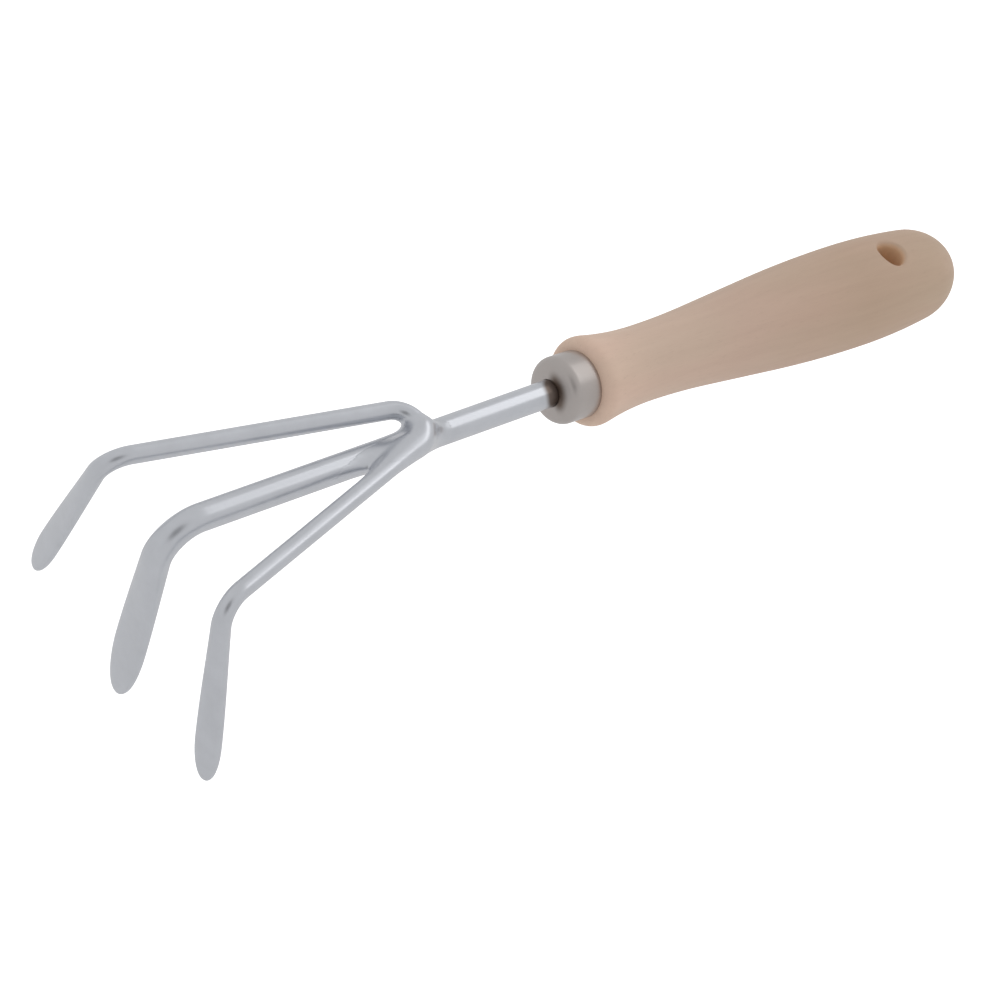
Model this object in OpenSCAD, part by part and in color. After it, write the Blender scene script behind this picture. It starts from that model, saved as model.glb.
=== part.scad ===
// Three-tine hand cultivator: turned wooden handle, drawn steel ferrule, one thick rod that is
// shaft, centre tine and tang, and one thinner rod bent as a hairpin and welded on top of it.
// Millimetres. The origin is the middle of the hanging hole, on the handle's axis.
// +X runs along the handle toward the tines, +Y to one side, +Z up: the tines point down.
// The metalwork is drawn in line with the handle and then turned down a little about the ferrule.

/* [Handle] */
// Ferrule end of the handle, the shoulder that the ferrule butts against, ahead of the hole
shoulder_x = 122.4; // [90:0.5:160]
// Radius of the bell-mouthed lip at the ferrule end
lip_r = 13.1; // [10:0.05:18]
// Radius that rounds the front edge of the lip
lip_round = 3.2; // [0.5:0.1:5]
// Radius of the crown of the lip along the handle
crown_r = 10.5; // [5:0.5:40]
// Steepest slope from the lip down to the waist, in degrees
lip_slope = 10.5; // [4:0.5:20]
// Radius of the hollow ahead of the waist
hollow_r = 110; // [30:1:200]
// Radius of the hollow behind the waist
waist_r = 290; // [80:5:500]
// Slope of the straight taper from the waist to the swell, in degrees
taper_slope = 4.45; // [1:0.05:10]
// Length of that straight taper
taper_len = 27; // [0:1:60]
// Radius of the swell ahead of the thickest point
swell_r = 470; // [100:10:900]
// Radius of the swell behind the thickest point
heel_r = 230; // [100:10:900]
// Slope where the swell meets the rounded tail, in degrees
heel_slope = 6.8; // [1:0.1:12]
// Radius of the rounded tail
tail_r = 18.8; // [8:0.05:25]
// Slope where the rounded tail meets the end cap, in degrees
cap_slope = 43.5; // [30:1:80]

/* [Hanging hole] */
// Radius of the hanging hole
hole_r = 4.2; // [2:0.1:7]
// How far the softened mouth opens the hole's radius at the surface
mouth_flare = 0.8; // [0:0.1:2]
// Depth of the softened mouth below the top and bottom of the handle
mouth_depth = 1.4; // [0.5:0.1:4]

/* [Ferrule] */
// Outside radius of the ferrule's barrel
ferrule_r = 9.85; // [8:0.05:13]
// Length of the ferrule from the handle's shoulder to its front
ferrule_len = 11.8; // [6:0.1:30]
// Sheet thickness
ferrule_wall = 1.2; // [0.6:0.1:2.5]
// Radius of the rounded corner between barrel and front
corner_r = 2; // [0.5:0.1:4]
// Radius of the slightly domed front
front_r = 22; // [15:1:80]
// Gap between the handle's spigot and the inside of the front
front_gap = 0.6; // [0:0.1:2]

/* [Rods] */
// Radius of the thick rod: tang, shaft and centre tine
shaft_r = 4; // [2.5:0.05:6]
// Radius of the thinner rod that makes both outer tines
outer_r = 2.65; // [1.5:0.05:4]
// Length of the tang inside the handle, behind the shoulder
tang_len = 72; // [30:1:110]
// Length of the tapered point of the tang
tang_point = 6; // [1:0.5:15]
// How far the shaft slopes down out of the handle's axis, in degrees
droop = 2.05; // [0:0.05:6]

/* [Tines] */
// Where the arms bend down, ahead of the hole
bend_x = 274.8; // [200:0.2:350]
// Bend radius of the centre tine, on the rod's centre line
centre_bend_r = 11; // [6:0.5:20]
// Length of the centre tine from the bend's corner to its tip
centre_len = 72.4; // [40:0.2:110]
// How far the centre tine leans back toward the handle, in degrees
centre_lean = 8.4; // [0:0.1:30]
// Half width of the centre blade
centre_blade = 6.05; // [4:0.05:10]
// Half thickness of the centre blade
centre_thin = 1.75; // [0.8:0.05:4]
// Bend radius of the outer tines, on the rod's centre line
outer_bend_r = 8; // [4:0.5:15]
// Length of an outer tine from the bend's corner to its tip
outer_len = 63.5; // [40:0.2:110]
// How far an outer tine's tip lies behind its bend
outer_back = 7.5; // [0:0.1:30]
// How far an outer tine's tip lies outside its bend
outer_splay = 13.4; // [0:0.1:30]
// Half width of an outer blade
outer_blade = 4.4; // [3:0.05:8]
// Half thickness of an outer blade
outer_thin = 1.3; // [0.6:0.05:3]

/* [Hairpin] */
// Distance from the bends back to the hairpin's turn, measured to the rod's centre line
hairpin_len = 89.6; // [50:0.2:140]
// Sideways distance from the shaft to each outer bend
bend_y = 27.6; // [15:0.1:50]
// Height of the outer bends over the shaft's centre line
bend_z = -0.5; // [-5:0.1:5]
// Radius of the hairpin's turn, to the rod's centre line
turn_r = 7.05; // [5:0.05:9]
// Sideways place of the middle of the turn, which is welded on a little off the shaft's centre
turn_y = -1.5; // [-3:0.1:3]
// How far the hairpin is sunk into the top of the shaft where it is welded on
weld_sink = 0.05; // [0:0.01:1]

/* [Welds] */
// Radius of each weld bead
bead_r = 2; // [1:0.1:4]
// Length of a bead between its tapered ends
bead_len = 4.5; // [2:0.5:12]
// Length of each tapered end
bead_taper = 1.5; // [0.5:0.1:4]
// Radius at a bead's tips
bead_tip = 1; // [0.4:0.1:2]
// How far a bead's rear tip lies behind the centre line of the hairpin's turn
bead_back = 3; // [0:0.5:5]
// Sideways distance of a bead's rear end from the shaft's centre line
bead_y = 3.2; // [1:0.1:8]
// Height of the beads above the shaft's centre line
bead_z = 4; // [1:0.1:8]
// How far a bead turns outward along its length, in degrees
bead_turn = 8; // [0:1:20]

/* [View] */
// Which sub-part to draw

/* [Hidden] */
$fn = 128;
far = 60;

// Stations along the handle behind the shoulder, to a thousandth, and the radius at each
function snap(v) = round(v * 1000) / 1000;
lip_s = lip_round;
crown_s = snap(lip_s + crown_r * sin(lip_slope));
crown_end = lip_r - crown_r * (1 - cos(lip_slope));
waist_s = snap(crown_s + hollow_r * sin(lip_slope));
waist_radius = crown_end - hollow_r * (1 - cos(lip_slope));
taper_s = snap(waist_s + waist_r * sin(taper_slope));
taper_radius = waist_radius + waist_r * (1 - cos(taper_slope));
swell_s = snap(taper_s + taper_len * cos(taper_slope));
swell_radius = taper_radius + taper_len * sin(taper_slope);
max_s = snap(swell_s + swell_r * sin(taper_slope));
max_radius = swell_radius + swell_r * (1 - cos(taper_slope));
heel_s = snap(max_s + heel_r * sin(heel_slope));
heel_radius = max_radius - heel_r * (1 - cos(heel_slope));
tail_centre_s = heel_s - tail_r * sin(heel_slope);
tail_centre_r = heel_radius - tail_r * cos(heel_slope);
cap_s = snap(tail_centre_s + tail_r * sin(cap_slope));
cap_edge = tail_centre_r + tail_r * cos(cap_slope);
cap_r = cap_edge / cos(cap_slope);
cap_centre_s = cap_s - cap_r * sin(cap_slope);

// Radius of the handle where the hanging hole crosses it
hole_surface = max_radius - heel_r + sqrt(pow(heel_r, 2) - pow(shoulder_x - max_s, 2));

// Solid core that every stretch of the outline stands on
core_r = cap_edge / 2;

// Ferrule
spigot_r = ferrule_r - ferrule_wall;
spigot_len = ferrule_len - ferrule_wall - front_gap;
corner_centre = ferrule_r - corner_r;
front_centre = ferrule_len - front_r;
corner_s = front_centre + sqrt(pow(front_r - corner_r, 2) - pow(corner_centre, 2));
// A point past the front, on the line through the centres of the front and the corner
past_front = [0, front_centre] + (front_r + corner_r) / (front_r - corner_r)
    * [corner_centre, corner_s - front_centre];

// Hairpin: its plane tips down from the shaft's top to the bends
turn_x = bend_x - hairpin_len;
turn_z = shaft_r + outer_r - weld_sink;
plane_tip = atan((turn_z - bend_z) / hairpin_len);
plane_len = hairpin_len / cos(plane_tip);

// Angle between an arm and the shaft, on the side given by its sign: the arm is a tangent of the turn
function arm_angle(side) = let (ahead = plane_len - turn_r, out = bend_y - side * turn_y)
    atan2(out, ahead) - asin(turn_r / norm([ahead, out]));

// The turn is a hair thicker than the arms, which start just inside its ends
turn_grow = 0.05;
turn_lap = 0.5;

// Vector helpers
function unit(v) = v / norm(v);
function ease(t) = let (c = min(max(t, 0), 1)) c * c * (3 - 2 * c);
function power_of(v, e) = sign(v) * pow(abs(v), e);

// Directions of an arm and of its tine, on the side given by its sign
function arm_dir(side) = let (angle = arm_angle(side))
    [cos(angle) * cos(plane_tip), side * sin(angle), -cos(angle) * sin(plane_tip)];
function drop(len, back, out) = sqrt(len * len - back * back - out * out);
function tine_dir(side) = [-outer_back, side * outer_splay,
    -drop(outer_len, outer_back, outer_splay)] / outer_len;

// A tine: point and direction a distance along a path that is an arc and then straight
function turn_angle(a, t) = acos(a * t);
function tangent_len(a, t, r) = r * tan(turn_angle(a, t) / 2);
function arc_len(a, t, r) = r * turn_angle(a, t) * PI / 180;
function path_len(a, t, r, len) = arc_len(a, t, r) + len - tangent_len(a, t, r);
function inward(a, t) = unit(t - (a * t) * a);
function heading(a, t, q) = cos(q) * a + sin(q) * inward(a, t);
function path_dir(a, t, r, s) = s < arc_len(a, t, r) ? heading(a, t, s / r * 180 / PI) : t;
function path_point(corner, a, t, r, s) = let (tl = tangent_len(a, t, r), al = arc_len(a, t, r),
    q = s / r * 180 / PI)
    s < al ? corner - tl * a + r * (sin(q) * a + (1 - cos(q)) * inward(a, t))
           : corner + (tl + s - al) * t;

// Shape of the flattened blade at a fraction u of the path, from the round rod to the tip
ring_n = 24;
tip_power = 2.2;
square_up = 0.7;
// Where the flattening starts, how much thinner the tip is, and where and how it rounds off
flat_from = 0.08;
tip_thin = 0.25;
round_from = 0.93;
round_power = 0.6;
function flatness(u, wide) = ease((u - flat_from) / (wide - flat_from));
function tip_fade(u, wide) = u <= wide ? 1
    : pow(max(1 - pow((u - wide) / (1 - wide), tip_power), 0), 1 / tip_power);
function half_width(u, rod, blade, wide) = (rod + (blade - rod) * ease(u / wide))
    * tip_fade(u, wide);
function half_thick(u, rod, thin, wide) = (rod - (rod - thin) * flatness(u, wide))
    * (1 - tip_thin * ease((u - wide) / (1 - wide))) * pow(tip_fade(u, round_from), round_power);
function roundness(u, wide) = 2 + square_up * flatness(u, wide);
function ring(centre, w, n, a, b, e) = [for (i = [0 : ring_n - 1]) let (q = 360 * i / ring_n)
    centre + w * a * power_of(cos(q), 2 / e) + n * b * power_of(sin(q), 2 / e)];

// Stations: even along the rod and blade, closer together round the tip
body_n = 20;
tip_n = 8;
tip_end = 0.9995;
// Each blade starts a little before the end of its round rod and just encloses it
collar = 0.5;
snug = 1.0125;
function stations(wide) = concat([for (i = [0 : body_n - 1]) wide * i / body_n],
    [for (i = [0 : tip_n]) wide + (tip_end - wide) * sin(90 * i / tip_n)]);

// Share of the way to the tip at which each blade is widest, and the centre rod's bend
centre_wide = 0.72;
outer_wide = 0.79;
forward = [1, 0, 0];
centre_corner = [bend_x, 0, 0];
centre_dir = [-sin(centre_lean), 0, -cos(centre_lean)];
centre_start = bend_x - tangent_len(forward, centre_dir, centre_bend_r);

module tine_blade(corner, a, t, r, len, rod, blade, thin, wide) {
    total = path_len(a, t, r, len);
    us = stations(wide);
    w = unit(cross(a, t));
    skin = rod * snug;
    root = ring(path_point(corner, a, t, r, 0) - collar * a, w, cross(a, w), skin, skin, 2);
    body = [for (u = us) let (d = path_dir(a, t, r, u * total))
        ring(path_point(corner, a, t, r, u * total), w, cross(d, w),
            half_width(u, skin, blade, wide), half_thick(u, skin, thin, wide),
            roundness(u, wide))];
    rings = concat([root], body);
    last = len(rings) - 1;
    points = [for (one = rings) for (p = one) p];
    sides = [for (k = [0 : last - 1]) for (i = [0 : ring_n - 1]) let (j = (i + 1) % ring_n)
        each [[k * ring_n + i, (k + 1) * ring_n + j, k * ring_n + j],
              [k * ring_n + i, (k + 1) * ring_n + i, (k + 1) * ring_n + j]]];
    root_cap = [for (i = [0 : ring_n - 1]) i];
    tip_cap = [for (i = [ring_n - 1 : -1 : 0]) last * ring_n + i];
    polyhedron(points = points, faces = concat(sides, [root_cap, tip_cap]), convexity = 6);
}

// One stretch of the handle's outline between two stations, rounded outward or hollowed inward
module round_out(s1, s2, centre_s, centre_r, r) {
    intersection() {
        translate([0, s1]) square([far, s2 - s1]);
        translate([centre_r, centre_s]) circle(r);
    }
}

module hollow_in(s1, s2, centre_s, centre_r, r) {
    difference() {
        translate([0, s1]) square([centre_r - r / 2, s2 - s1]);
        translate([centre_r, centre_s]) circle(r);
    }
}

module handle_outline() {
    square([lip_r - lip_round, lip_s]);
    square([core_r, cap_s]);
    round_out(0, lip_s, lip_s, lip_r - lip_round, lip_round);
    round_out(lip_s, crown_s, lip_s, lip_r - crown_r, crown_r);
    hollow_in(crown_s, waist_s, waist_s, waist_radius + hollow_r, hollow_r);
    hollow_in(waist_s, taper_s, waist_s, waist_radius + waist_r, waist_r);
    polygon([[0, taper_s], [taper_radius, taper_s], [swell_radius, swell_s], [0, swell_s]]);
    round_out(swell_s, max_s, max_s, max_radius - swell_r, swell_r);
    round_out(max_s, heel_s, max_s, max_radius - heel_r, heel_r);
    round_out(heel_s, cap_s, tail_centre_s, tail_centre_r, tail_r);
    round_out(cap_s, cap_s + far, cap_centre_s, 0, cap_r);
}

// Turn a shape made along +Z from the shoulder so that it runs back along the handle
module behind_shoulder() {
    translate([shoulder_x, 0, 0]) rotate([0, -90, 0]) children();
}

module ahead_of_shoulder() {
    translate([shoulder_x, 0, 0]) rotate([0, 90, 0]) children();
}

// Turn the straight metalwork down about the middle of the ferrule's front
module drooped() {
    translate([shoulder_x + ferrule_len, 0, 0]) rotate([0, droop, 0])
        translate([-shoulder_x - ferrule_len, 0, 0]) children();
}

// Tang and shaft in one, from the tang's point to the start of the centre tine's bend
module rod_core() {
    translate([shoulder_x - tang_len, 0, 0]) rotate([0, 90, 0]) {
        cylinder(h = tang_point, r1 = shaft_r / 2, r2 = shaft_r);
        translate([0, 0, tang_point])
            cylinder(h = centre_start - shoulder_x + tang_len - tang_point, r = shaft_r);
    }
}

module handle() {
    color([0.72, 0.64, 0.57])
    difference() {
        union() {
            behind_shoulder() rotate_extrude() handle_outline();
            ahead_of_shoulder() cylinder(h = spigot_len, r = spigot_r);
        }
        drooped() rod_core();
        cylinder(h = far, r = hole_r, center = true);
        for (up = [0, 1]) mirror([0, 0, up])
            translate([0, 0, hole_surface - mouth_depth])
                cylinder(h = 2 * mouth_depth, r1 = hole_r, r2 = hole_r + 2 * mouth_flare);
    }
}

module ferrule_outline() {
    difference() {
        intersection() {
            union() {
                square([ferrule_r, corner_s]);
                translate([corner_centre, corner_s]) circle(corner_r);
                polygon([[0, corner_s], [corner_centre, corner_s], past_front, [0, past_front.y]]);
            }
            translate([0, front_centre]) circle(front_r);
        }
        square([spigot_r, spigot_len]);
    }
}

module ferrule() {
    color([0.63, 0.60, 0.58])
    difference() {
        ahead_of_shoulder() rotate_extrude() ferrule_outline();
        drooped() rod_core();
    }
}

module centre_rod() {
    color([0.72, 0.73, 0.76])
    drooped() {
        rod_core();
        tine_blade(centre_corner, forward, centre_dir, centre_bend_r, centre_len,
            shaft_r, centre_blade, centre_thin, centre_wide);
    }
}

// The flat hairpin before its plane is tipped, with its turn at the origin and arms along +X
module hairpin_flat() {
    translate([turn_r, turn_y, 0]) rotate([0, 0, 90 + arm_angle(1)])
        rotate_extrude(angle = 180 - arm_angle(1) - arm_angle(-1))
            translate([turn_r, 0]) circle(outer_r + turn_grow);
    for (side = [-1, 1]) {
        angle = arm_angle(side);
        arm_from = turn_r * (1 - sin(angle));
        reach = (plane_len - arm_from) / cos(angle)
            - tangent_len(arm_dir(side), tine_dir(side), outer_bend_r);
        translate([arm_from, turn_y + side * turn_r * cos(angle), 0])
            rotate([0, 90, side * angle]) translate([0, 0, -turn_lap])
                cylinder(h = reach + turn_lap, r = outer_r);
    }
}

module outer_tine_rod() {
    color([0.74, 0.75, 0.77])
    drooped() {
        translate([turn_x, 0, turn_z]) rotate([0, plane_tip, 0]) hairpin_flat();
        for (side = [-1, 1])
            tine_blade([bend_x, side * bend_y, bend_z], arm_dir(side), tine_dir(side),
                outer_bend_r, outer_len, outer_r, outer_blade, outer_thin, outer_wide);
    }
}

// A short bead in the crevice between the shaft and one leg of the hairpin
module weld_bead(side) {
    color([0.66, 0.67, 0.70])
    drooped() difference() {
        translate([turn_x - bead_back, side * bead_y, bead_z]) rotate([0, 90, side * bead_turn]) {
            cylinder(h = bead_taper, r1 = bead_tip, r2 = bead_r);
            translate([0, 0, bead_taper]) cylinder(h = bead_len, r = bead_r);
            translate([0, 0, bead_taper + bead_len])
                cylinder(h = bead_taper, r1 = bead_r, r2 = bead_tip);
        }
        translate([turn_x - far, 0, 0]) rotate([0, 90, 0]) cylinder(h = 2 * far, r = shaft_r);
        translate([turn_x, 0, turn_z]) rotate([0, plane_tip, 0]) hairpin_flat();
    }
}

module weld_left() {
    weld_bead(1);
}

module weld_right() {
    weld_bead(-1);
}

handle();
ferrule();
centre_rod();
outer_tine_rod();
weld_left();
weld_right();
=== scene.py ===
import math

import bmesh
import bpy
import numpy as np
from mathutils import Matrix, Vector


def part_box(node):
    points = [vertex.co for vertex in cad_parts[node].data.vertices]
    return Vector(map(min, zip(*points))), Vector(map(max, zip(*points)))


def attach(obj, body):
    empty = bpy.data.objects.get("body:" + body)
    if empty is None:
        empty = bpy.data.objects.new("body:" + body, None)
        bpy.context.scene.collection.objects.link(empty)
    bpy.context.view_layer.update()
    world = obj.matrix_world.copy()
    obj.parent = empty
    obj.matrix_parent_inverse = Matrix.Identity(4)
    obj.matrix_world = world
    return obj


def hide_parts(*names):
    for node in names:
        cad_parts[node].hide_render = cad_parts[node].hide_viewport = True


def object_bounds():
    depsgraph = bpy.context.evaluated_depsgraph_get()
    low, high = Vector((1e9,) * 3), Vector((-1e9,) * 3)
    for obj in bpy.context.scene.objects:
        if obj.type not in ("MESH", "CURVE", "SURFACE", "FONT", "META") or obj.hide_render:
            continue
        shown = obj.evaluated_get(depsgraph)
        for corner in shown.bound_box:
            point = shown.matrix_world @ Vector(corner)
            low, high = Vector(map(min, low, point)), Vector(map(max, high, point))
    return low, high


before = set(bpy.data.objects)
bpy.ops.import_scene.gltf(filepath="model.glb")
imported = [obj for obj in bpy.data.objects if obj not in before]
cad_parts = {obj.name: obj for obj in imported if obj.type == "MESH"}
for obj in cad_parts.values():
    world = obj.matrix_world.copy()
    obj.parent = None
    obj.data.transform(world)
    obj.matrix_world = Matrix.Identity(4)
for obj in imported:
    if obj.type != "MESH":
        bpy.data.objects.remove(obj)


def plain_box(box):
    """Two corners as plain lists of numbers."""
    return [[float(v) for v in corner] for corner in box]


cad_box = plain_box(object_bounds())
MM = 0.001

# ---------------------------------------------------------------- camera

# A long lens above and beyond the tines. Directions are unit vectors, the place is in metres
LENS_MM, SENSOR_MM = 216, 36
CAMERA_RIGHT = (-0.718888, 0.595513, 0.358558)
CAMERA_UP = (-0.246267, -0.700550, 0.669763)
CAMERA_BACK = (0.650040, 0.393184, 0.650272)
CAMERA_PLACE = (1.24704, 0.67583, 1.07146)

camera_data = bpy.data.cameras.new("camera")
camera_data.lens = LENS_MM
camera_data.sensor_width = SENSOR_MM
camera_data.clip_start = 0.05
camera_data.clip_end = 100
camera = bpy.data.objects.new("camera", camera_data)
bpy.context.scene.collection.objects.link(camera)
turn = Matrix((CAMERA_RIGHT, CAMERA_UP, CAMERA_BACK)).transposed().to_4x4()
camera.matrix_world = Matrix.Translation(CAMERA_PLACE) @ turn
bpy.context.scene.camera = camera

# ---------------------------------------------------------------- mesh helpers


def build_mesh(name, points, faces, unrolled=None):
    """A smooth-shaded object from points in mm. unrolled is each point's place on the straightened part."""
    mesh = bpy.data.meshes.new(name)
    mesh.from_pydata([tuple(p) for p in np.asarray(points) * MM], [], [tuple(map(int, f)) for f in faces])
    work = bmesh.new()
    work.from_mesh(mesh)
    bmesh.ops.recalc_face_normals(work, faces=work.faces)
    work.to_mesh(mesh)
    work.free()
    mesh.shade_smooth()
    if unrolled is not None:
        kept = mesh.attributes.new("unrolled", "FLOAT_VECTOR", "POINT")
        kept.data.foreach_set("vector", (np.asarray(unrolled) * MM).astype(np.float32).ravel())
    piece = bpy.data.objects.new(name, mesh)
    bpy.context.scene.collection.objects.link(piece)
    return piece


def grid_faces(index, wrap_rows=False):
    """Quads over a table of point numbers whose columns close on themselves."""
    below = index if wrap_rows else index[:-1]
    above = np.roll(index, -1, axis=0) if wrap_rows else index[1:]
    across = np.roll(below, -1, axis=1)
    both = np.roll(above, -1, axis=1)
    return np.stack([below, across, both, above], axis=-1).reshape(-1, 4).tolist()


def fan(ring, pole):
    """Triangles from a ring of point numbers to one pole."""
    return [[int(a), int(b), pole] for a, b in zip(ring, np.roll(ring, -1))]


def arc(centre_s, centre_r, radius, start, end, steps):
    """Points (distance, radius) of an arc of a turned outline. Angles in degrees from outward."""
    q = np.radians(np.linspace(start, end, steps + 1))
    return np.stack([centre_s + radius * np.sin(q), centre_r + radius * np.cos(q)], axis=1)


# ---------------------------------------------------------------- handle

# Sizes in mm, angles in degrees. The outline runs from the shoulder, where the ferrule begins, to the tail
SHOULDER_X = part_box("ferrule")[0].x / MM
LIP_R, LIP_ROUND, CROWN_R, LIP_SLOPE = 13.1, 3.2, 10.5, 10.5
HOLLOW_R, WAIST_R, TAPER_SLOPE, TAPER_LEN = 110, 290, 4.45, 27
SWELL_R, HEEL_R, HEEL_SLOPE, TAIL_R, CAP_SLOPE = 470, 230, 6.8, 18.8, 43.5
SPIGOT_R, SPIGOT_LEN, SPIGOT_CHAMFER = 8.65, 10, 1.6
TANG_LEN, TANG_POINT, SHAFT_R = 72, 6, 4
HOLE_R, MOUTH_FLARE, MOUTH_DEPTH = 4.2, 1.3, 1.9
# The hole's mouth is meshed in a square window of the skin: half its side, and its cells along a side
WINDOW, WINDOW_CELLS, SIDE_CELLS = 7.6, 20, 40
FERRULE_R, FERRULE_LEN, FERRULE_WALL, CORNER_R, FRONT_R = 9.85, 11.8, 1.2, 3.2, 22
FERRULE_EDGE, FERRULE_HEM, FRONT_GAP, SHAFT_GAP = 0.12, 0.12, 0.6, 0.02
# The metalwork hangs this many degrees below the handle's axis
DROOP = 2.05


def drooped(points):
    """Turns points of the straight metalwork down about the middle of the ferrule's front."""
    q = math.radians(DROOP)
    pivot = np.array([SHOULDER_X + FERRULE_LEN, 0.0, 0.0])
    turned = np.array([[math.cos(q), 0, math.sin(q)], [0, 1, 0], [-math.sin(q), 0, math.cos(q)]])
    return (np.asarray(points) - pivot) @ turned.T + pivot


def handle_outline():
    """(distance behind the shoulder, radius) along the outside of the handle, from lip to tail."""
    sin = lambda a: math.sin(math.radians(a))
    cos = lambda a: math.cos(math.radians(a))
    drop = lambda a: 1 - cos(a)
    crown_s = LIP_ROUND + CROWN_R * sin(LIP_SLOPE)
    waist_s = crown_s + HOLLOW_R * sin(LIP_SLOPE)
    waist_radius = LIP_R - CROWN_R * drop(LIP_SLOPE) - HOLLOW_R * drop(LIP_SLOPE)
    taper_radius = waist_radius + WAIST_R * drop(TAPER_SLOPE)
    taper_s = waist_s + WAIST_R * sin(TAPER_SLOPE)
    swell_s = taper_s + TAPER_LEN * cos(TAPER_SLOPE)
    swell_radius = taper_radius + TAPER_LEN * sin(TAPER_SLOPE)
    max_s = swell_s + SWELL_R * sin(TAPER_SLOPE)
    max_radius = swell_radius + SWELL_R * drop(TAPER_SLOPE)
    tail_s = max_s + (HEEL_R - TAIL_R) * sin(HEEL_SLOPE)
    tail_centre = max_radius - HEEL_R * drop(HEEL_SLOPE) - TAIL_R * cos(HEEL_SLOPE)
    cap_edge = tail_centre + TAIL_R * cos(CAP_SLOPE)
    cap_r = cap_edge / cos(CAP_SLOPE)
    cap_s = tail_s + TAIL_R * sin(CAP_SLOPE) - cap_r * sin(CAP_SLOPE)
    pieces = [
        arc(LIP_ROUND, LIP_R - LIP_ROUND, LIP_ROUND, -90, 0, 10),
        arc(LIP_ROUND, LIP_R - CROWN_R, CROWN_R, 0, LIP_SLOPE, 4),
        arc(waist_s, waist_radius + HOLLOW_R, HOLLOW_R, 180 + LIP_SLOPE, 180, 16),
        arc(waist_s, waist_radius + WAIST_R, WAIST_R, 180, 180 - TAPER_SLOPE, 16),
        np.linspace([taper_s, taper_radius], [swell_s, swell_radius], 18),
        arc(max_s, max_radius - SWELL_R, SWELL_R, -TAPER_SLOPE, 0, 30),
        arc(max_s, max_radius - HEEL_R, HEEL_R, 0, HEEL_SLOPE, 30),
        arc(tail_s, tail_centre, TAIL_R, HEEL_SLOPE, CAP_SLOPE, 14),
        arc(cap_s, 0, cap_r, CAP_SLOPE, 90, 12),
    ]
    return np.concatenate([pieces[0]] + [piece[1:] for piece in pieces[1:]])


def skin_faces(index, first, last, top, bottom):
    """Quads over the handle's rings, leaving out the two square windows of the hanging hole."""
    faces = []
    for i in range(len(index) - 1):
        for j in range(index.shape[1]):
            if first <= i < last and (j in top or j in bottom):
                continue
            k = (j + 1) % index.shape[1]
            faces.append([index[i, j], index[i, k], index[i + 1, k], index[i + 1, j]])
    return faces


def mouth_rings(edge, radius_at):
    """(xy, height) of the rings from the square window in the skin down to the hole's straight wall."""
    start = math.atan2(edge[0][1], edge[0][0])
    q = start + np.arange(len(edge)) * 2 * math.pi / len(edge)
    circle = np.stack([np.cos(q), np.sin(q)], axis=1)
    skin = lambda xy: np.sqrt(radius_at(xy[:, 0]) ** 2 - xy[:, 1] ** 2)
    rings = []
    for t in np.linspace(0, 1, 7)[1:]:
        xy = edge * (1 - t) + circle * (HOLE_R + MOUTH_FLARE) * t
        rings.append((xy, skin(xy)))
    mouth = skin(circle * (HOLE_R + MOUTH_FLARE))
    for a in np.radians(np.linspace(0, 90, 9)[1:]):
        xy = circle * (HOLE_R + MOUTH_FLARE * (1 - math.sin(a)))
        rings.append((xy, mouth - MOUTH_DEPTH * (1 - math.cos(a))))
    return rings


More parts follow.
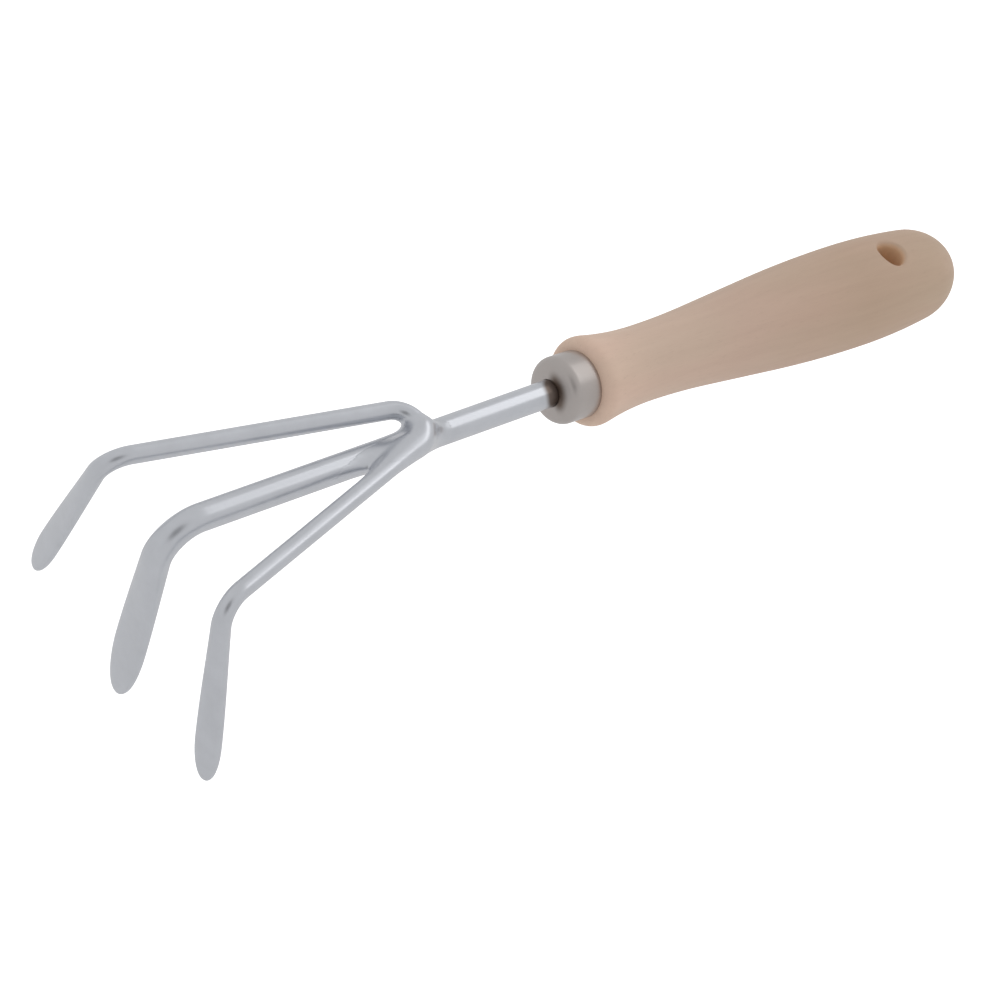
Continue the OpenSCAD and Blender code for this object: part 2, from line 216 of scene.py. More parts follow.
def make_handle():
    outline = handle_outline()
    xs = SHOULDER_X - outline[:, 0]
    rs = outline[:, 1]
    radius_at = lambda x: np.interp(x, xs[::-1], rs[::-1])
    strip = np.linspace(-WINDOW, WINDOW, WINDOW_CELLS + 1)
    outside = [x for x in xs if abs(x) > WINDOW + 0.5 and x > xs[-1] + 1e-6]
    stations = np.array(sorted(set(outside) | set(strip)))
    first = int(np.argmin(np.abs(stations + WINDOW)))
    last = first + WINDOW_CELLS
    tip = math.degrees(math.asin(WINDOW / float(radius_at(0))))
    around = np.concatenate([
        np.linspace(-tip, tip, WINDOW_CELLS + 1)[:-1],
        np.linspace(tip, 180 - tip, SIDE_CELLS + 1)[:-1],
        np.linspace(180 - tip, 180 + tip, WINDOW_CELLS + 1)[:-1],
        np.linspace(180 + tip, 360 - tip, SIDE_CELLS + 1)[:-1],
    ])
    n = len(around)
    q = np.radians(around)

    # The skin, the spigot and the tang's bore. The bore's last three rings follow the drooped tang
    bore_end = SHOULDER_X - TANG_LEN
    spigot_end = SHOULDER_X + SPIGOT_LEN
    inner = [
        (SHOULDER_X, SPIGOT_R), (spigot_end - SPIGOT_CHAMFER, SPIGOT_R),
        (spigot_end, SPIGOT_R - SPIGOT_CHAMFER), (spigot_end, SHAFT_R),
        (bore_end + TANG_POINT, SHAFT_R), (bore_end, SHAFT_R / 2),
    ]
    rows = [(x, float(radius_at(x))) for x in stations] + inner
    points = [np.stack([np.full(n, x), r * np.sin(q), r * np.cos(q)], axis=1) for x, r in rows]
    points[-3:] = [drooped(ring_points) for ring_points in points[-3:]]
    points = list(np.concatenate(points))
    index = np.arange(len(rows) * n).reshape(len(rows), n)
    top = range(WINDOW_CELLS)
    bottom = range(WINDOW_CELLS + SIDE_CELLS, 2 * WINDOW_CELLS + SIDE_CELLS)
    faces = skin_faces(index, first, last, top, bottom)
    poles = (np.array([xs[-1], 0.0, 0.0]), drooped([bore_end, 0.0, 0.0]))
    for ring_points, pole in zip((index[0], index[-1]), poles):
        points.append(pole)
        faces += fan(ring_points, len(points) - 1)

    # The hanging hole, from the upper window through to the lower one
    loop = [(first + i, 0) for i in range(WINDOW_CELLS)] + [(last, j) for j in range(WINDOW_CELLS)]
    loop += [(last - i, WINDOW_CELLS) for i in range(WINDOW_CELLS)]
    loop += [(first, WINDOW_CELLS - j) for j in range(WINDOW_CELLS)]
    mirror = lambda j: (2 * WINDOW_CELLS + SIDE_CELLS - j) % n
    upper = np.array([index[i, j] for i, j in loop])
    lower = np.array([index[i, mirror(j)] for i, j in loop])
    rings = mouth_rings(np.array([points[p][:2] for p in upper]), radius_at)
    tables = []
    for sign, border in ((1, upper), (-1, lower)):
        table = [border]
        for xy, z in rings:
            table.append(np.arange(len(points), len(points) + len(loop)))
            points += list(np.column_stack([xy, sign * z]))
        tables.append(table)
    wall_xy, wall_z = rings[-1]
    for t in np.linspace(1, -1, 27)[1:-1]:
        tables[0].append(np.arange(len(points), len(points) + len(loop)))
        points += list(np.column_stack([wall_xy, wall_z * t]))
    faces += grid_faces(np.array(tables[0] + tables[1][::-1]))
    return build_mesh("turned_handle", points, faces)


# ---------------------------------------------------------------- ferrule

FERRULE_SEGMENTS = 144


def make_ferrule():
    """A drawn cup: barrel, rounded corner, and a slightly domed front with the shaft's hole."""
    corner_r0 = FERRULE_R - CORNER_R
    front_s = FERRULE_LEN - FRONT_R
    corner_s = front_s + math.sqrt((FRONT_R - CORNER_R) ** 2 - corner_r0 ** 2)
    meet = math.degrees(math.atan2(corner_s - front_s, corner_r0))
    hole = SHAFT_R + SHAFT_GAP
    hem_edge = np.array([[0, FERRULE_R - FERRULE_HEM], [FERRULE_HEM * 0.3, FERRULE_R - FERRULE_HEM * 0.3]])
    barrel = np.column_stack([np.linspace(FERRULE_HEM, corner_s, 9), np.full(9, FERRULE_R)])
    corner = arc(corner_s, corner_r0, CORNER_R, 0, meet, 12)[1:]
    hole_angle = math.degrees(math.acos((hole + FERRULE_EDGE) / FRONT_R))
    front = arc(front_s, 0, FRONT_R, meet, hole_angle, 10)[1:]
    q = np.radians([20, 45, 70, 90])
    edge_s = front[-1][0] - FERRULE_EDGE
    edge = np.column_stack([edge_s + FERRULE_EDGE * np.cos(q), hole + FERRULE_EDGE * (1 - np.sin(q))])
    depth = FERRULE_LEN - FERRULE_WALL - FRONT_GAP
    inside = np.array([
        [depth, hole], [depth, SPIGOT_R - SPIGOT_CHAMFER], [depth - SPIGOT_CHAMFER, SPIGOT_R], [0, SPIGOT_R],
    ])
    outline = np.concatenate([hem_edge, barrel, corner, front, edge, inside])
    q = np.linspace(0, 2 * math.pi, FERRULE_SEGMENTS, endpoint=False)
    full = np.ones(len(q))
    rows = [np.stack([(SHOULDER_X + s) * full, r * np.sin(q), r * np.cos(q)], axis=1) for s, r in outline]
    index = np.arange(len(rows) * len(q)).reshape(len(rows), len(q))
    return build_mesh("drawn_ferrule", np.concatenate(rows), grid_faces(index, wrap_rows=True))


# ---------------------------------------------------------------- rods

# Where the outer arms turn down into tines, before the droop. The centre arm turns down at the same x
BEND_X, BEND_Y, BEND_Z = 274.8, 27.6, -0.5
# Each blade: its half width and half thickness, and the fraction of the tine's length where it is widest
CENTRE_LEN, CENTRE_LEAN, CENTRE_BEND_R = 72.38, 8.4, 11
CENTRE_BLADE, CENTRE_THIN, CENTRE_WIDE = 6.05, 1.75, 0.72
OUTER_R, OUTER_LEN, OUTER_BACK, OUTER_SPLAY, OUTER_BEND_R = 2.65, 63.5, 7.5, 13.4, 8
OUTER_BLADE, OUTER_THIN, OUTER_WIDE = 4.33, 1.3, 0.79
HAIRPIN_LEN, TURN_R, TURN_Y, WELD_SINK = 89.6, 7.05, -1.5, 0.05
BLADE_POWER, TIP_POWER = 2.7, 2.2
RING = 56


def unit(v):
    return v / np.linalg.norm(v)


def ease(t):
    """From 0 to 1 with no slope at either end."""
    t = np.clip(t, 0, 1)
    return t * t * (3 - 2 * t)


def tip_fade(u, start):
    """1 up to the start, then falling to 0 at the tip along a rounded curve."""
    if u <= start:
        return 1.0
    return max(1 - ((u - start) / (1 - start)) ** TIP_POWER, 0) ** (1 / TIP_POWER)


def blade_section(u, rod, blade, thin, wide):
    """Half width, half thickness and squareness of a tine, a fraction u of the way to its tip."""
    half_width = (rod + (blade - rod) * ease(u / wide)) * tip_fade(u, wide)
    flat = ease((u - 0.08) / (wide - 0.08))
    taper = 1 - 0.25 * ease((u - wide) / (1 - wide))
    half_thick = (rod - (rod - thin) * flat) * taper * tip_fade(u, 0.93) ** 0.6
    return half_width, half_thick, 2 + (BLADE_POWER - 2) * flat


def ring(centre, w, n, a, b, power):
    """Points of a ring, half width a along w and half thickness b along n, and their flat offsets."""
    q = np.linspace(0, 2 * math.pi, RING, endpoint=False)
    c = np.sign(np.cos(q)) * np.abs(np.cos(q)) ** (2 / power)
    s = np.sign(np.sin(q)) * np.abs(np.sin(q)) ** (2 / power)
    return centre + np.outer(c * a, w) + np.outer(s * b, n), np.stack([c * a, s * b], axis=1)


class Sweep:
    """Rings along a path, with each point's place on the straightened rod."""

    def __init__(self):
        self.rows, self.flat, self.along = [], [], 0.0
        self.last = None

    def add(self, centre, w, n, a, b, power=2.0):
        if self.last is not None:
            self.along += float(np.linalg.norm(centre - self.last))
        self.last = centre
        points, local = ring(centre, w, n, a, b, power)
        self.rows.append(points)
        self.flat.append(np.column_stack([np.full(RING, self.along), local]))


def add_tine(sweep, corner, a, t, r, length, rod, blade, thin, wide):
    """The bend of radius r from an arm's direction a to the tine's direction t, and the blade below it."""
    angle = math.acos(float(a @ t))
    back = r * math.tan(angle / 2)
    arc_len = r * angle
    total = arc_len + length - back
    inward = unit(t - (a @ t) * a)
    w = unit(np.cross(a, t))
    tip = np.sin(np.radians(np.linspace(0, 89.6, 36)[1:]))
    stations = np.concatenate([np.linspace(0, wide, 90), wide + (1 - wide) * tip])
    for u in stations:
        s = u * total
        q = min(s / r, angle)
        if s < arc_len:
            centre = corner - back * a + r * (math.sin(q) * a + (1 - math.cos(q)) * inward)
        else:
            centre = corner + (back + s - arc_len) * t
        d = math.cos(q) * a + math.sin(q) * inward
        half_width, half_thick, power = blade_section(float(u), rod, blade, thin, wide)
        sweep.add(centre, w, np.cross(d, w), half_width, half_thick, power)
    return corner + (length - 0.01) * t


def closed_sweep(name, rows, flat, poles):
    """A closed rod from its rings and the pole (point, place along the rod) at each end."""
    count = len(rows) * RING
    points = drooped(list(np.concatenate(rows)) + [np.asarray(p[0]) for p in poles])
    unrolled = list(np.concatenate(flat)) + [np.array([p[1], 0.0, 0.0]) for p in poles]
    index = np.arange(count).reshape(len(rows), RING)
    faces = grid_faces(index) + fan(index[0], count) + fan(index[-1], count + 1)
    return build_mesh(name, points, faces, unrolled)


def make_centre_rod():
    forward = np.array([1.0, 0.0, 0.0])
    lean = math.radians(CENTRE_LEAN)
    down = np.array([-math.sin(lean), 0, -math.cos(lean)])
    corner = np.array([BEND_X, 0.0, 0.0])
    bend_start = BEND_X - CENTRE_BEND_R * math.tan(math.acos(float(forward @ down)) / 2)
    w = unit(np.cross(forward, down))
    n = np.cross(forward, w)
    sweep = Sweep()
    tang = SHOULDER_X - TANG_LEN
    sweep.add(np.array([tang, 0.0, 0.0]), w, n, SHAFT_R / 2, SHAFT_R / 2)
    shaft = [tang + TANG_POINT, SHOULDER_X - 20, *np.linspace(SHOULDER_X, bend_start, 90)[:-1]]
    for x in shaft:
        sweep.add(np.array([x, 0.0, 0.0]), w, n, SHAFT_R, SHAFT_R)
    end = add_tine(
        sweep, corner, forward, down, CENTRE_BEND_R, CENTRE_LEN,
        SHAFT_R, CENTRE_BLADE, CENTRE_THIN, CENTRE_WIDE)
    poles = ((np.array([tang, 0.0, 0.0]), 0.0), (end, sweep.along))
    return closed_sweep("centre_tine_rod", sweep.rows, sweep.flat, poles)


def hairpin_plane():
    """Start of the hairpin's turn, and the directions ahead and up in its tipped plane."""
    turn_z = SHAFT_R + OUTER_R - WELD_SINK
    tip = math.atan((turn_z - BEND_Z) / HAIRPIN_LEN)
    ahead = np.array([math.cos(tip), 0, -math.sin(tip)])
    normal = np.array([math.sin(tip), 0, math.cos(tip)])
    return np.array([BEND_X - HAIRPIN_LEN, 0.0, turn_z]), ahead, normal, HAIRPIN_LEN / math.cos(tip)


def arm_angle(turn_y, plane_len):
    """Angle of the +Y arm, a tangent of the turn, when the middle of the turn is at turn_y."""
    forward, out = plane_len - TURN_R, BEND_Y - turn_y
    return math.atan2(out, forward) - math.asin(TURN_R / math.hypot(forward, out))


SIDE = np.array([0.0, 1.0, 0.0])
MIRROR = np.array([1.0, -1.0, 1.0])


def hairpin_side(turn_y):
    """The half of the hairpin from the middle of its turn to the tip of the tine on the +Y side."""
    start, ahead, normal, plane_len = hairpin_plane()
    arm = arm_angle(turn_y, plane_len)
    a = math.cos(arm) * ahead + math.sin(arm) * SIDE
    drop = math.sqrt(OUTER_LEN ** 2 - OUTER_BACK ** 2 - OUTER_SPLAY ** 2)
    t = np.array([-OUTER_BACK, OUTER_SPLAY, -drop]) / OUTER_LEN
    corner = np.array([BEND_X, BEND_Y, BEND_Z])
    back = OUTER_BEND_R * math.tan(math.acos(float(a @ t)) / 2)
    sweep = Sweep()
    for q in np.linspace(math.pi, math.pi / 2 + arm, 31):
        outward = math.cos(q) * ahead + math.sin(q) * SIDE
        sweep.add(start + turn_y * SIDE + TURN_R * (ahead + outward), outward, normal, OUTER_R, OUTER_R)
    arm_start = sweep.last
    arm_end = corner - back * a
    # The rings twist along the arm, from the turn's plane to the plane of the blade
    blade_side = unit(np.cross(a, t))
    twist = math.atan2(float(blade_side @ normal), float(blade_side @ outward))
    for f in np.linspace(0, 1, 70)[1:-1]:
        q = twist * ease(f)
        w = math.cos(q) * outward + math.sin(q) * normal
        n = math.cos(q) * normal - math.sin(q) * outward
        sweep.add(arm_start + f * (arm_end - arm_start), w, n, OUTER_R, OUTER_R)
    end = add_tine(
        sweep, corner, a, t, OUTER_BEND_R, OUTER_LEN,
        OUTER_R, OUTER_BLADE, OUTER_THIN, OUTER_WIDE)
    return sweep, end


def make_outer_rod():
    """The hairpin, from the right tip through the turn to the left tip."""
    left, left_end = hairpin_side(TURN_Y)
    right, right_end = hairpin_side(-TURN_Y)
    rows = [row * MIRROR for row in right.rows[:0:-1]] + left.rows
    flat = [row * np.array([-1.0, 1.0, 1.0]) for row in right.flat[:0:-1]] + left.flat
    poles = ((right_end * MIRROR, -right.along), (left_end, left.along))
    return closed_sweep("outer_tines_rod", rows, flat, poles)


# ---------------------------------------------------------------- weld

# How far the fillet reaches out from the crevice: a broad web on the left and less on the right
BLEND_APEX, BLEND_CROTCH, BLEND_RIGHT = 11, 7.5, 4.5
# The web narrows over this length, and passes into the right side's fillet about this y, over this width
WEB_LEN, WEB_MIDDLE, WEB_SPREAD = 32, -1.5, 7
# The fillet's rim sinks below the rods' skin and its body goes this deep into them
SKIN, RIM, WELD_DEPTH = 0.035, 0.1, 0.6
# The block that is searched for the fillet's surface, from the start of the hairpin's turn
WELD_BEHIND, WELD_AHEAD, WELD_HALF, WELD_LOW, WELD_TOP = 16, 38, 18, -4.8, 13
WELD_ARM, WELD_GRID = 40, 0.35


def shaft_distance(p):
    """Distance outside the shaft."""
    return np.hypot(p[:, 1], p[:, 2]) - SHAFT_R


def segment_distance(p, a, b):
    """Distance from the straight line between two points."""
    along = b - a
    t = np.clip((p - a) @ along / (along @ along), 0, 1)
    return np.linalg.norm(p - a - t[:, None] * along, axis=1)


def hairpin_distance(p):
    """Distance outside the hairpin's turn and the first stretch of its two arms."""
    start, ahead, normal, plane_len = hairpin_plane()
    local = p - start - TURN_R * ahead - TURN_Y * SIDE
    u, v, w = local @ ahead, local @ SIDE, local @ normal
    nearest = np.hypot(np.hypot(u, v) - TURN_R, w)
    nearest[u > 0] = np.inf
    for side in (-1, 1):
        arm = arm_angle(side * TURN_Y, plane_len)
        begin = np.array([-TURN_R * math.sin(arm), side * TURN_R * math.cos(arm), 0])
        end = begin + WELD_ARM * np.array([math.cos(arm), side * math.sin(arm), 0])
        nearest = np.minimum(nearest, segment_distance(np.column_stack([u, v, w]), begin, end))
    return nearest - OUTER_R


def weld_field(p):
    """Negative in the metal that fills the crevice between the shaft and the hairpin."""
    a, b = shaft_distance(p), hairpin_distance(p)
    ahead = p[:, 0] - (BEND_X - HAIRPIN_LEN)
    left = BLEND_APEX + (BLEND_CROTCH - BLEND_APEX) * ease(ahead / WEB_LEN)
    blend = BLEND_RIGHT + (left - BLEND_RIGHT) * ease(0.5 + (p[:, 1] - WEB_MIDDLE) / WEB_SPREAD)
    near = np.clip(1 - np.abs(a - b) / blend, 0, 1)
    fill = near ** 2 * blend / 4
    rods = np.minimum(a, b)
    return np.maximum(np.maximum(rods - fill + SKIN, -rods - WELD_DEPTH), (RIM - near) * blend)


def surface_net(field, low, high, step):
    """Closed surface where a field is zero: one point in each grid cell that the surface crosses."""
    axes = [np.arange(a, b, step) for a, b in zip(low, high)]
    grid = np.stack(np.meshgrid(*axes, indexing="ij"), axis=-1)
    value = field(grid.reshape(-1, 3)).reshape(grid.shape[:3])
    total = np.zeros(grid.shape)
    count = np.zeros(grid.shape[:3])
    quads = []
    for d in range(3):
        u, v = (d + 1) % 3, (d + 2) % 3
        steps = np.eye(3, dtype=int)
        a = np.take(value, range(value.shape[d] - 1), axis=d)
        b = np.take(value, range(1, value.shape[d]), axis=d)
        edges = np.argwhere((a < 0) != (b < 0))
        edges = edges[(edges[:, u] > 0) & (edges[:, v] > 0)]
        va, vb = value[tuple(edges.T)], value[tuple((edges + steps[d]).T)]
        places = np.array(low) + step * (edges + np.outer(va / (va - vb), steps[d]))
        cells = [edges, edges - steps[u], edges - steps[u] - steps[v], edges - steps[v]]
        for cell in cells:
            np.add.at(total, tuple(cell.T), places)
            np.add.at(count, tuple(cell.T), 1)
        quads.append(np.stack(cells, axis=1))
    number = np.full(count.shape, -1)
    number[count > 0] = np.arange(int((count > 0).sum()))
    points = total[count > 0] / count[count > 0][:, None]
    quads = np.concatenate(quads)
    return points, number[quads[..., 0], quads[..., 1], quads[..., 2]]


def largest_piece(points, faces):
    """The biggest part of a mesh that holds together along edges of two faces, without stray specks."""
    ends = np.sort(np.stack([faces, np.roll(faces, -1, axis=1)], axis=-1), axis=-1).reshape(-1, 2)
    _, edge, uses = np.unique(ends, axis=0, return_inverse=True, return_counts=True)
    edge = edge.ravel()
    owner = np.repeat(np.arange(len(faces)), faces.shape[1])
    order = np.argsort(edge, kind="stable")
    pairs = owner[order[(uses == 2)[edge[order]]]].reshape(-1, 2)
    label = np.arange(len(faces))
    while True:
        lowest = label[pairs].min(axis=1)
        spread = label.copy()
        np.minimum.at(spread, pairs[:, 0], lowest)
        np.minimum.at(spread, pairs[:, 1], lowest)
        spread = spread[spread]
        if np.array_equal(spread, label):
            break
        label = spread
    kept = faces[label == np.bincount(label).argmax()]
    used, renumbered = np.unique(kept, return_inverse=True)
    return points[used], renumbered.reshape(kept.shape)


def make_weld():
    """The dressed weld metal between the shaft and the hairpin, on both sides."""
    turn_x = BEND_X - HAIRPIN_LEN
    low = (turn_x - WELD_BEHIND, -WELD_HALF, WELD_LOW)
    high = (turn_x + WELD_AHEAD, WELD_HALF, WELD_TOP)
    points, faces = largest_piece(*surface_net(weld_field, low, high, WELD_GRID))
    return build_mesh("weld_fillet", drooped(points), faces.tolist())


handle = make_handle()
ferrule = make_ferrule()
centre_rod = make_centre_rod()
outer_rod = make_outer_rod()
weld = make_weld()

# ---------------------------------------------------------------- materials


def new_material(name):
    material = bpy.data.materials.new(name)
    material.use_nodes = True
    tree = material.node_tree
    return material, tree, tree.nodes["Principled BSDF"]


def node(tree, kind, inputs=None, **settings):
    """A node with its settings, and its inputs linked to sockets or set to values."""
    made = tree.nodes.new(kind)
    for key, value in settings.items():
        setattr(made, key, value)
    for key, value in (inputs or {}).items():
        socket = made.inputs[key]
        if isinstance(value, bpy.types.NodeSocket):
            tree.links.new(value, socket)
        else:
            socket.default_value = value
    return made


def ramp(tree, factor, stops):
    """A colour ramp through (place, colour) stops."""
    made = tree.nodes.new("ShaderNodeValToRGB")
    tree.links.new(factor, made.inputs[0])
    elements = made.color_ramp.elements
    while len(elements) < len(stops):
        elements.new(0.5)
    for element, (place, colour) in zip(elements, stops):
        element.position = place
        element.color = colour if len(colour) == 4 else (*colour, 1)
    return made.outputs[0]


def grey(v):
    return (v, v, v, 1)


def mixed(tree, share, first, second, blend_type="MIX"):
    """A colour mix of two sockets or colours by a share."""
    made = tree.nodes.new("ShaderNodeMix")
    made.data_type = "RGBA"
    made.blend_type = blend_type
    colours = [socket for socket in made.inputs if socket.type == "RGBA"]
    for socket, value in ((made.inputs[0], share), (colours[0], first), (colours[1], second)):
        if isinstance(value, bpy.types.NodeSocket):
            tree.links.new(value, socket)
        else:
            socket.default_value = value
    return [socket for socket in made.outputs if socket.type == "RGBA"][0]


def noise(tree, place, scale=(1, 1, 1), turn=(0, 0, 0), detail=2.0, roughness=0.5):
    """Noise over a stretched and turned place, per metre."""
    stretched = node(tree, "ShaderNodeMapping", {0: place, "Rotation": turn, "Scale": scale}).outputs[0]
    settings = {"Vector": stretched, "Scale": 1.0, "Detail": detail, "Roughness": roughness}
    return node(tree, "ShaderNodeTexNoise", settings).outputs["Fac"]


def math_node(tree, operation, first, second=0.0):
    """One sum of two sockets or numbers."""
    return node(tree, "ShaderNodeMath", {0: first, 1: second}, operation=operation).outputs[0]


def between(tree, value, low, high, at_low, at_high, smooth=True):
    """A value carried from one range to another."""
    settings = {0: value, 1: low, 2: high, 3: at_low, 4: at_high}
    kind = "SMOOTHSTEP" if smooth else "LINEAR"
    return node(tree, "ShaderNodeMapRange", settings, interpolation_type=kind).outputs[0]


def bumped(tree, *layers):
    """Bump on bump: (height socket, strength, distance in metres)."""
    normal = None
    for height, strength, distance in layers:
        inputs = {"Strength": strength, "Distance": distance, "Height": height}
        if normal is not None:
            inputs["Normal"] = normal
        normal = node(tree, "ShaderNodeBump", inputs).outputs[0]
    return normal


def vector_math(tree, operation, first, second=None, output=0):
    """One sum of one or two vectors."""
    inputs = {0: first} if second is None else {0: first, 1: second}
    return node(tree, "ShaderNodeVectorMath", inputs, operation=operation).outputs[output]


def along_x(tree, place):
    return node(tree, "ShaderNodeSeparateXYZ", {0: place}).outputs[0]


# Linear colours of the wood's figure, from dark to pale, and the slow drift of its hue
WOOD_FIGURE = [(0.36, (0.640, 0.468, 0.368)), (0.5, (0.662, 0.486, 0.382)), (0.64, (0.684, 0.505, 0.397))]
WOOD_CLOUD = [(0.35, (1.015, 0.995, 0.99)), (0.65, (0.99, 1.0, 0.985))]
# Painted light along the handle, from near the tail to the shoulder: darker over the rear and lighter toward
# the front, palest at the lip, standing in for how light falls there, with small shifts of hue along it
WOOD_PAINTED_LIGHT_START = -0.030
WOOD_PAINTED_LIGHT = [
    (0.0, (0.94, 0.955, 0.90)), (0.3, (0.90, 0.875, 0.82)), (0.62, (1.0, 1.0, 1.0)),
    (0.85, (1.12, 1.14, 1.15)), (0.97, (1.22, 1.22, 1.23)),
]
END_GRAIN = (0.80, 0.55, 0.355, 1)
END_GRAIN_REACH = (0.0040, 0.0050)
PORE, PORE_SHARE = (0.49, 0.345, 0.25, 1), 0.16


def make_wood():
    """Fine-grained pale wood: rings and fibres along the handle, small pores, and end grain in the hole."""
    material, tree, shader = new_material("oiled_beech")
    place = node(tree, "ShaderNodeTexCoord").outputs["Object"]
    rings = noise(tree, place, (7, 95, 60), (0.5, 0.03, 0.05))
    fibre = noise(tree, place, (26, 420, 420), (0.35, 0.02, -0.03), 5.0, 0.62)
    flecks = noise(tree, place, (300, 2300, 2300), (0.2, 0, 0))
    cloud = noise(tree, place, (22, 70, 70), detail=1.0)
    figure = math_node(tree, "MULTIPLY", math_node(tree, "ADD", rings, fibre), 0.5)
    colour = mixed(tree, 1.0, ramp(tree, figure, WOOD_FIGURE), ramp(tree, cloud, WOOD_CLOUD), "MULTIPLY")
    # Painted light: the handle's colour is darkened at the rear and lightened toward the lip
    share = between(tree, along_x(tree, place), WOOD_PAINTED_LIGHT_START, SHOULDER_X * MM, 0, 1, smooth=False)
    colour = mixed(tree, 1.0, colour, ramp(tree, share, WOOD_PAINTED_LIGHT), "MULTIPLY")
    pores = ramp(tree, flecks, [(0.60, grey(0)), (0.72, grey(1))])
    colour = mixed(tree, math_node(tree, "MULTIPLY", pores, PORE_SHARE), colour, PORE)
    # End grain in the hanging hole is deeper and browner
    reach = vector_math(tree, "LENGTH", vector_math(tree, "MULTIPLY", place, (1, 1, 0)), output="Value")
    colour = mixed(tree, between(tree, reach, *END_GRAIN_REACH, 1.0, 0.0), colour, END_GRAIN)
    tree.links.new(colour, shader.inputs["Base Color"])
    roughness = between(tree, fibre, 0.3, 0.7, 0.60, 0.50, smooth=False)
    tree.links.new(roughness, shader.inputs["Roughness"])
    shader.inputs["Specular IOR Level"].default_value = 0.35
    hollows = math_node(tree, "SUBTRACT", 1.0, pores)
    normal = bumped(tree, (fibre, 0.25, 0.00005), (hollows, 0.2, 0.00004))
    tree.links.new(normal, shader.inputs["Normal"])
    return material


COAT, COAT_ROUGH = 0.4, 0.06
# Scales of the fine lines: along a drawn rod, round the spun ferrule, and even on the dressed weld
ROD_LINES, FERRULE_LINES, WELD_LINES = (60, 5200, 5200), (6000, 110, 110), (60, 60, 60)


def make_steel(name, colour, roughness, lines_scale, unrolled=False):
    """Steel under a thin clear coat, with fine lines, faint clouding and small pits."""
    material, tree, shader = new_material(name)
    if unrolled:
        place = node(tree, "ShaderNodeAttribute", attribute_name="unrolled").outputs["Vector"]
    else:
        place = node(tree, "ShaderNodeTexCoord").outputs["Object"]
    lines = noise(tree, place, lines_scale, detail=3.0)
    cloud = noise(tree, place, (160, 160, 160), detail=4.0, roughness=0.6)
    pits = node(tree, "ShaderNodeTexVoronoi", {"Vector": place, "Scale": 900.0}).outputs["Distance"]
    low = tuple(c * 0.96 for c in colour)
    high = tuple(c * 1.03 for c in colour)
    base = ramp(tree, cloud, [(0.3, low), (0.7, high)])
    tree.links.new(base, shader.inputs["Base Color"])
    shader.inputs["Metallic"].default_value = 1.0
    shader.inputs["Coat Weight"].default_value = COAT
    shader.inputs["Coat Roughness"].default_value = COAT_ROUGH
    tree.links.new(between(tree, cloud, 0.3, 0.7, *roughness, smooth=False), shader.inputs["Roughness"])
    pit_mask = ramp(tree, pits, [(0.04, grey(0)), (0.12, grey(1))])
    layers = ((lines, 0.12, 0.00002), (cloud, 0.06, 0.0001), (pit_mask, 0.08, 0.00004))
    tree.links.new(bumped(tree, *layers), shader.inputs["Normal"])
    return material, tree, shader, base


# Painted shade and dark reflection in brown, where the shaft enters the ferrule: its colour, the sides it
# lies on, and in metres how far out from the axis it fades on the ferrule, how far it reaches along the
# shaft, and its soft edge there
PAINTED_SHADE = (0.155, 0.115, 0.092, 1)
FERRULE_FRONT = (SHOULDER_X + FERRULE_LEN) * MM
SHADE_SIDE, SHAFT_SHADE_SIDE = (0, 0.69, 0.72), (0, 0.62, 0.785)
SHADE_REACH, SHADE_ALONG_SHAFT, SHADE_EDGE = (0.0048, 0.0075), (0.0002, 0.0044), (-0.0018, 0.0006)
ROD_COLOUR, FERRULE_COLOUR = (0.64, 0.655, 0.69), (0.512, 0.470, 0.446)


def facing(tree, across, side):
    """How far a place off the tool's axis lies toward a side: 1 on that side, -1 opposite."""
    return vector_math(tree, "DOT_PRODUCT", vector_math(tree, "NORMALIZE", across), side, "Value")


def make_rod_steel(name, with_painted_shade=False):
    """Plated rod. The shaft's has painted shade and dark reflection, in brown, reaching a few mm along its
    upper side from the ferrule.
    """
    material, tree, shader, base = make_steel(name, ROD_COLOUR, (0.29, 0.35), ROD_LINES, unrolled=True)
    # Painted shade: the shaft's end by the ferrule is tinted dark brown on its upper side, and its coat is
    # taken away there
    if with_painted_shade:
        place = node(tree, "ShaderNodeTexCoord").outputs["Object"]
        across = vector_math(tree, "MULTIPLY", place, (0, 1, 1))
        shade_length = between(tree, facing(tree, across, SHAFT_SHADE_SIDE), -0.2, 1.0, *SHADE_ALONG_SHAFT)
        ahead = math_node(tree, "SUBTRACT", along_x(tree, place), FERRULE_FRONT)
        beyond = math_node(tree, "SUBTRACT", ahead, shade_length)
        share = between(tree, beyond, *SHADE_EDGE, 0.95, 0)
        tree.links.new(mixed(tree, share, base, PAINTED_SHADE), shader.inputs["Base Color"])
        tree.links.new(between(tree, beyond, *SHADE_EDGE, 0, COAT), shader.inputs["Coat Weight"])
    return material


def make_ferrule_steel():
    """Drawn steel with painted shade and dark reflection, in brown, on its front, in the crook of the shaft.
    """
    material, tree, shader, base = make_steel(
        "drawn_ferrule_steel", FERRULE_COLOUR, (0.36, 0.46), FERRULE_LINES)
    place = node(tree, "ShaderNodeTexCoord").outputs["Object"]
    across = vector_math(tree, "MULTIPLY", place, (0, 1, 1))
    # Painted shade: dark brown on the ferrule's front around the shaft, on its upper side
    near_shaft = between(tree, vector_math(tree, "LENGTH", across, output="Value"), *SHADE_REACH, 1, 0)
    toward = between(tree, facing(tree, across, SHADE_SIDE), 0.1, 0.75, 0, 1)
    on_front = between(tree, along_x(tree, place), FERRULE_FRONT - 0.004, FERRULE_FRONT - 0.001, 0, 1)
    share = math_node(tree, "MULTIPLY", math_node(tree, "MULTIPLY", near_shaft, toward), on_front)
    tree.links.new(mixed(tree, share, base, PAINTED_SHADE), shader.inputs["Base Color"])
    return material


wood = make_wood()
rod_steel = make_rod_steel("bright_rod_steel")
shaft_steel = make_rod_steel("bright_shaft_steel", with_painted_shade=True)
ferrule_steel = make_ferrule_steel()
weld_steel = make_steel("weld_steel", ROD_COLOUR, (0.3, 0.36), WELD_LINES)[0]

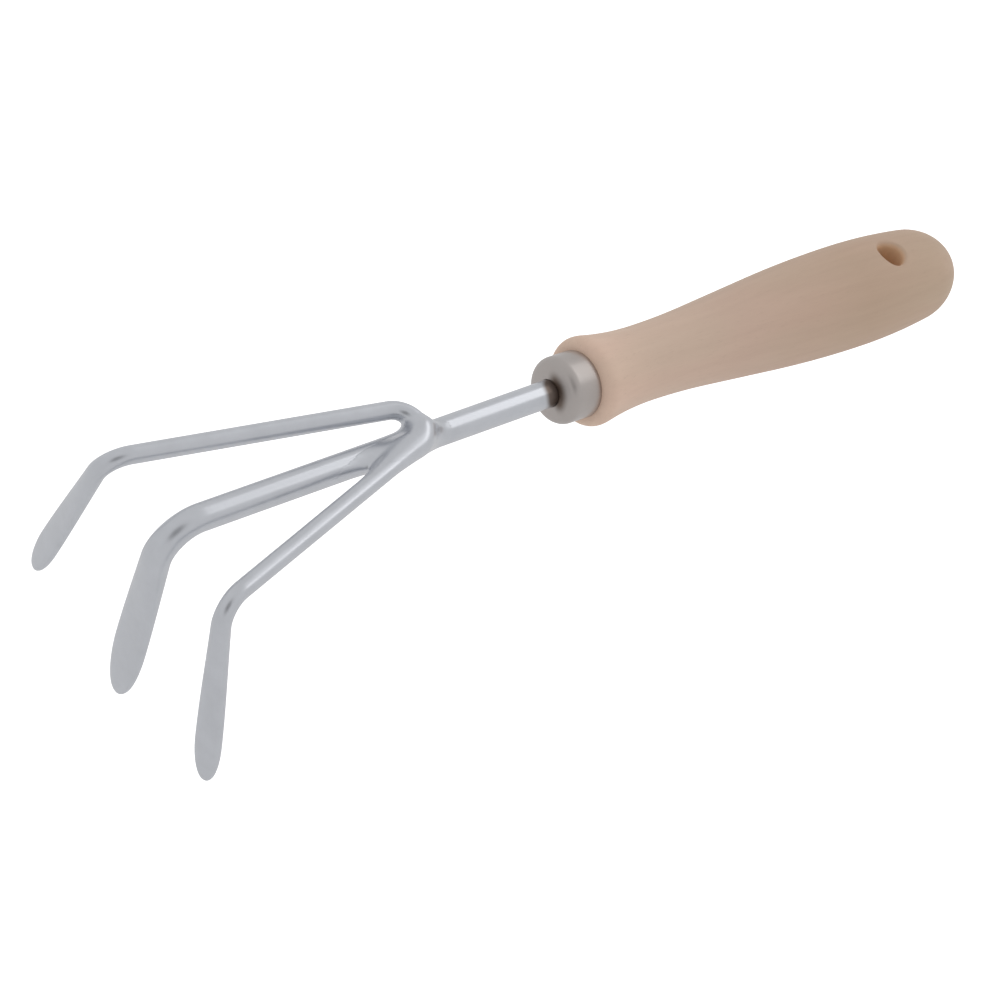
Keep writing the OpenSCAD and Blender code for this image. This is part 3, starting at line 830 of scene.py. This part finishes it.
for piece, material, cad_nodes, slot in (
    (handle, wood, ["handle"], "handle_wood"),
    (ferrule, ferrule_steel, ["ferrule"], "ferrule_steel"),
    (centre_rod, shaft_steel, ["centre_rod"], "rod_steel"),
    (outer_rod, rod_steel, ["outer_tine_rod"], "rod_steel"),
    (weld, weld_steel, ["weld_left", "weld_right"], "weld_steel"),
):
    piece.data.materials.append(material)
    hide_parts(*cad_nodes)
    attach(piece, "root")

# ---------------------------------------------------------------- floor and light

# The floor lies 50 mm below the tool, because the photo shows no shadow under it
FLOOR_Z, FLOOR_REACH = cad_box[0][2] - 0.05, 25
square = ((-1, -1), (1, -1), (1, 1), (-1, 1))
floor_corners = [(x * FLOOR_REACH, y * FLOOR_REACH, FLOOR_Z) for x, y in square]
floor_mesh = bpy.data.meshes.new("floor")
floor_mesh.from_pydata(floor_corners, [], [(0, 1, 2, 3)])
floor = bpy.data.objects.new("floor", floor_mesh)
bpy.context.scene.collection.objects.link(floor)
floor_material, floor_tree, floor_shader = new_material("floor_white")
floor_shader.inputs["Base Color"].default_value = (0.90, 0.90, 0.90, 1)
floor_shader.inputs["Roughness"].default_value = 1.0
floor_shader.inputs["Specular IOR Level"].default_value = 0.0
floor_shader.inputs["Emission Color"].default_value = (1, 1, 1, 1)
# The floor's own light brings it to plain white for the camera, and adds almost nothing to the tool
floor_lit = node(floor_tree, "ShaderNodeLightPath").outputs["Is Camera Ray"]
floor_glow = node(floor_tree, "ShaderNodeMapRange", {0: floor_lit, 3: 0.06, 4: 0.7}).outputs[0]
floor_tree.links.new(floor_glow, floor_shader.inputs["Emission Strength"])
floor_mesh.materials.append(floor_material)

# A light tent: even white all round, darker where the lens looks in
TENT_EDGE = (0.90, 0.985)
TENT_LEVEL, TENT_OPENING = 0.703, 0.26
world = bpy.data.worlds.new("light_tent")
bpy.context.scene.world = world
world.use_nodes = True
tent = world.node_tree
background = tent.nodes["Background"]
direction = node(tent, "ShaderNodeTexCoord").outputs["Generated"]
toward_lens = vector_math(tent, "DOT_PRODUCT", direction, CAMERA_BACK, "Value")
level = between(tent, toward_lens, *TENT_EDGE, TENT_LEVEL, TENT_OPENING)
seen = node(tent, "ShaderNodeLightPath").outputs["Is Camera Ray"]
shown = node(tent, "ShaderNodeMix", {0: seen, 2: level, 3: 1.0}).outputs[0]
tent.links.new(shown, background.inputs["Strength"])
background.inputs["Color"].default_value = (0.985, 0.99, 1.0, 1)

MIDDLE = np.array([(cad_box[0][0] + cad_box[1][0]) / 2, 0, 0])


def softbox(name, azimuth, elevation, distance, size, radiance):
    """An area light at a bearing in degrees from the middle of the tool, facing it."""
    data = bpy.data.lights.new(name, "AREA")
    data.shape = "RECTANGLE"
    data.size, data.size_y = size
    data.energy = radiance * math.pi * size[0] * size[1]
    light = bpy.data.objects.new(name, data)
    bpy.context.scene.collection.objects.link(light)
    a, e = math.radians(azimuth), math.radians(elevation)
    back = np.array([math.cos(e) * math.cos(a), math.cos(e) * math.sin(a), math.sin(e)])
    right = unit(np.cross((0, 0, 1), back))
    up = np.cross(back, right)
    place = MIDDLE + back * distance
    light.matrix_world = Matrix.Translation(tuple(place)) @ Matrix((right, up, back)).transposed().to_4x4()
    light.visible_camera = False


softbox("softbox_back", 180, 49, 1.3, (1.2, 0.34), 1.0)

bpy.context.scene.view_settings.view_transform = "Standard"
